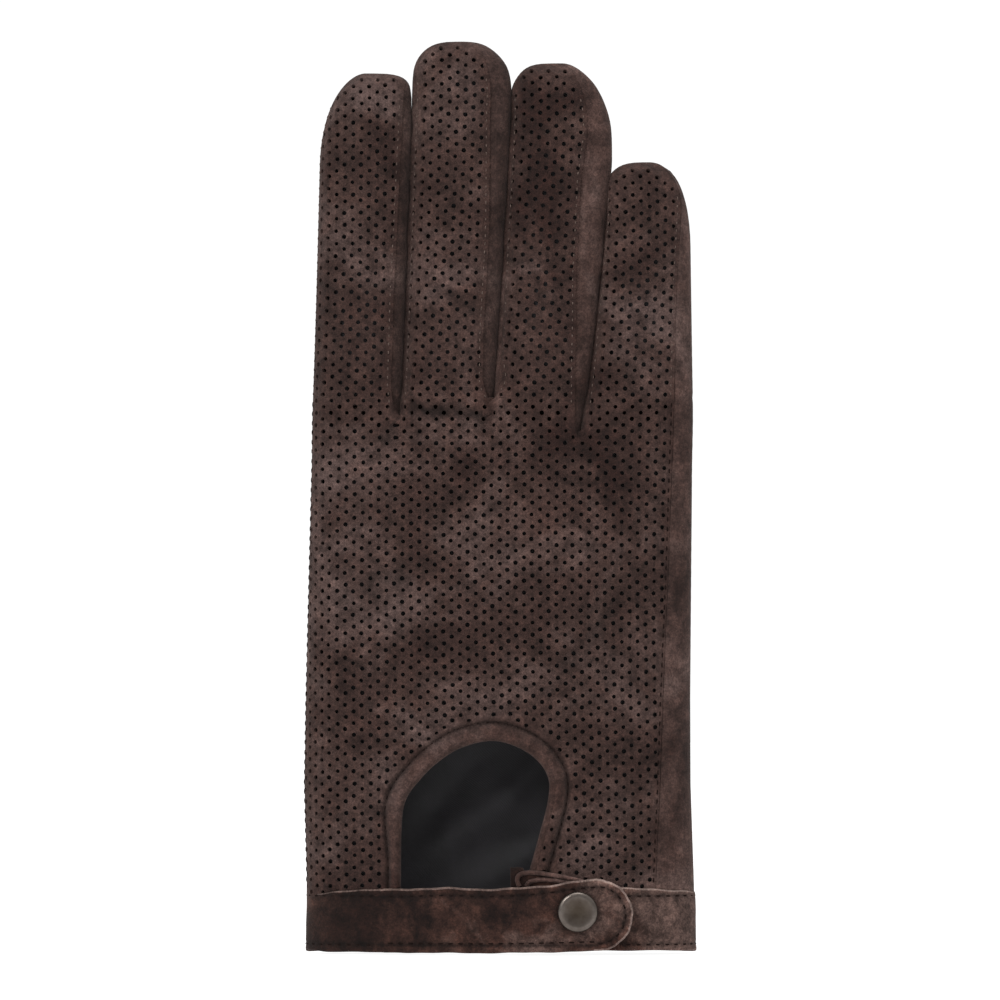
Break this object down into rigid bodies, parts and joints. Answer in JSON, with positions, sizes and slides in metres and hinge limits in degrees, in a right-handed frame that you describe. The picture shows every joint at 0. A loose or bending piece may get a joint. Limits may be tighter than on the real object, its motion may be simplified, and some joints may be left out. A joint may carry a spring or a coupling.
{
  "type": "driving glove",
  "caption": "Right-hand suede driving glove with a perforated back, a keyhole wrist opening and a snap-fastened strap, hinged at its fingers, thumb and strap.",
  "frame": {"origin": "centre of the hand opening at the cuff rim", "axes": "+Z along the hand towards the fingertips, -Y out of the back of the hand, +X towards the little finger"},
  "size_m": [0.1024, 0.0444, 0.2346],
  "materials": {
    "perforated_suede": "dark brown perforated suede, mottled nap",
    "plain_suede": "dark brown plain suede, brushed nap",
    "lining": "black knitted lining",
    "stud_metal": "aged gunmetal press stud",
    "thread": "brown sewing thread"
  },
  "bodies": {
    "hand": {"back_panel": "perforated_suede", "palm_panel": "plain_suede", "fourchette_roots": "plain_suede", "back_lining": "lining", "palm_lining": "lining", "opening_binding": "plain_suede", "cuff_band": "plain_suede", "underlap": "plain_suede", "snap_stud": "stud_metal", "snap_post": "stud_metal", "cuff_stitching": "thread", "opening_stitching": "thread", "side_stitching": "thread"},
    "strap": {"strap": "plain_suede", "snap_cap": "stud_metal", "snap_socket": "stud_metal", "strap_stitching": "thread"},
    "thumb": {"thumb_back": "plain_suede", "thumb_front": "plain_suede", "thumb_lining": "lining"},
    "index": {"index_back": "perforated_suede", "index_front": "plain_suede", "index_fourchette": "plain_suede", "index_lining": "lining"},
    "middle": {"middle_back": "perforated_suede", "middle_front": "plain_suede", "middle_fourchette_left": "plain_suede", "middle_fourchette_right": "plain_suede", "middle_lining": "lining"},
    "ring": {"ring_back": "perforated_suede", "ring_front": "plain_suede", "ring_fourchette_left": "plain_suede", "ring_fourchette_right": "plain_suede", "ring_lining": "lining"},
    "little": {"little_back": "perforated_suede", "little_front": "plain_suede", "little_fourchette": "plain_suede", "little_lining": "lining"}
  },
  "joints": [
    {"name": "strap_open", "type": "hinge", "parent": "hand", "child": "strap", "pos_m": [-0.026, -0.01175, 0.0082], "axis": [0, 0, -1], "range_deg": [0, 150]},
    {"name": "thumb_swing", "type": "hinge", "parent": "hand", "child": "thumb", "pos_m": [-0.039, 0.0122, 0.062], "axis": [0, 0, 1], "range_deg": [0, 110]},
    {"name": "index_flex", "type": "hinge", "parent": "hand", "child": "index", "pos_m": [-0.0369, 0.0073, 0.15], "axis": [-1, 0, 0], "range_deg": [0, 85]},
    {"name": "middle_flex", "type": "hinge", "parent": "hand", "child": "middle", "pos_m": [-0.014, 0.0073, 0.15], "axis": [-1, 0, 0], "range_deg": [0, 85]},
    {"name": "ring_flex", "type": "hinge", "parent": "hand", "child": "ring", "pos_m": [0.0099, 0.0073, 0.15], "axis": [-1, 0, 0], "range_deg": [0, 85]},
    {"name": "little_flex", "type": "hinge", "parent": "hand", "child": "little", "pos_m": [0.0356, 0.0073, 0.15], "axis": [-1, 0, 0], "range_deg": [0, 85]}
  ]
}
